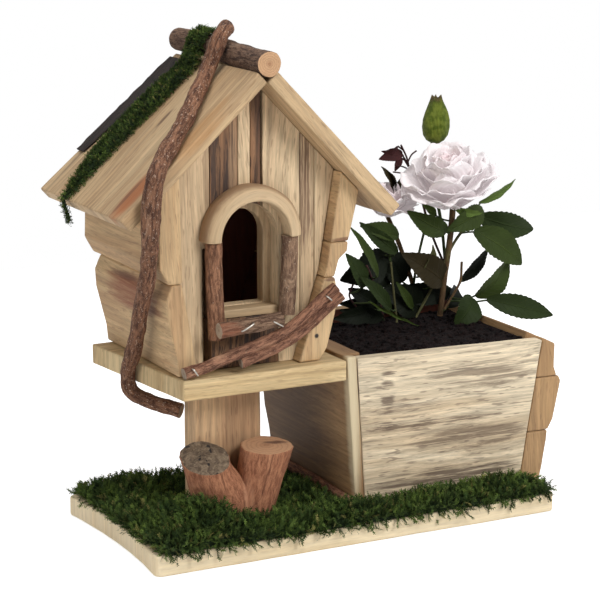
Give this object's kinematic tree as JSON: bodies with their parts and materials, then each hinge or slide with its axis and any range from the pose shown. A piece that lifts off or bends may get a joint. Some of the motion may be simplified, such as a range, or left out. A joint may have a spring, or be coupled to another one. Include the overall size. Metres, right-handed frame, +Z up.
{
  "type": "birdhouse planter",
  "caption": "Rustic wooden nesting box on a post beside a tapered planter box of roses, both on one mossy base board; a decorative garden ornament.",
  "frame": {"origin": "on the ground under the middle of the whole part's bounding box", "axes": "+Z up, the front with the entrance faces -Y, the planter stands towards +X"},
  "size_m": [0.3246, 0.143, 0.2943],
  "materials": {
    "base_wood": "sanded pale plank",
    "deck_wood": "sanded pale plank",
    "post_wood": "rough-sawn, knotty",
    "wall_wood": "waney boards, sanded",
    "gable_pale_wood": "sanded pale boards",
    "gable_brown_wood": "dark striped sapwood boards",
    "panel_wood": "plain board",
    "arch_wood": "sawn and sanded arch",
    "roof_wood": "pale boards with brown streaks",
    "dark_bark": "dark bark",
    "twig_bark": "reddish-brown bark with pale flecks",
    "grey_bark": "striated grey-brown bark with pale sawn ends",
    "stump_wood": "terracotta-coloured stripped bark",
    "knot_wood": "grey knotty sawn face",
    "planter_front_wood": "washed-out spalted board",
    "planter_side_wood": "waney boards",
    "planter_inner_wood": "plain board",
    "foam": "florist foam",
    "soil": "dark loose soil, glued",
    "moss": "dried reindeer-like moss",
    "leaf": "artificial leaves and stems",
    "petal": "artificial petals, pale pink at the heart",
    "bud": "artificial bud",
    "steel": "bright wire"
  },
  "bodies": {
    "root": {"base_board": "base_wood", "deck_board": "deck_wood", "post": "post_wood", "stump": "stump_wood", "knotty_limb": "knot_wood", "planter_side_twig": "twig_bark", "left_wall_lower": "wall_wood", "left_wall_upper": "wall_wood", "right_wall_lower": "wall_wood", "right_wall_middle": "wall_wood", "right_wall_upper": "wall_wood", "front_panel": "panel_wood", "back_panel": "wall_wood", "gable_board_1": "gable_pale_wood", "gable_board_2": "gable_brown_wood", "gable_board_3": "gable_pale_wood", "gable_board_4": "gable_brown_wood", "gable_board_5": "gable_pale_wood", "gable_board_6": "gable_brown_wood", "gable_board_7": "gable_pale_wood", "door_apron": "gable_brown_wood", "door_sill": "gable_pale_wood", "door_arch": "arch_wood", "left_jamb_twig": "twig_bark", "right_jamb_twig": "twig_bark", "upper_perch_twig": "grey_bark", "lower_perch_strand_1": "twig_bark", "lower_perch_strand_2": "twig_bark", "staple_1": "steel", "staple_2": "steel", "staple_3": "steel", "staple_4": "steel", "roof_left_front": "roof_wood", "roof_left_back": "roof_wood", "roof_right_front": "roof_wood", "roof_right_back": "roof_wood", "roof_bark_strip": "dark_bark", "roof_moss": "moss", "ridge_log": "grey_bark", "climbing_branch": "twig_bark", "planter_front": "planter_front_wood", "planter_left_wall": "planter_side_wood", "planter_right_wall_lower": "planter_side_wood", "planter_right_wall_middle": "planter_side_wood", "planter_right_wall_upper": "planter_side_wood", "planter_back": "planter_inner_wood", "planter_floor": "planter_inner_wood", "planter_foam": "foam", "planter_soil": "soil", "lawn_front": "moss", "lawn_left": "moss", "lawn_middle": "moss", "lawn_right": "moss", "lawn_back": "moss", "rose_main_cane": "leaf", "rose_left_cane": "leaf", "rose_side_cane": "leaf", "rose_bloom": "petal", "rose_rear_bloom": "petal", "rose_bud": "bud"}
  },
  "joints": []
}
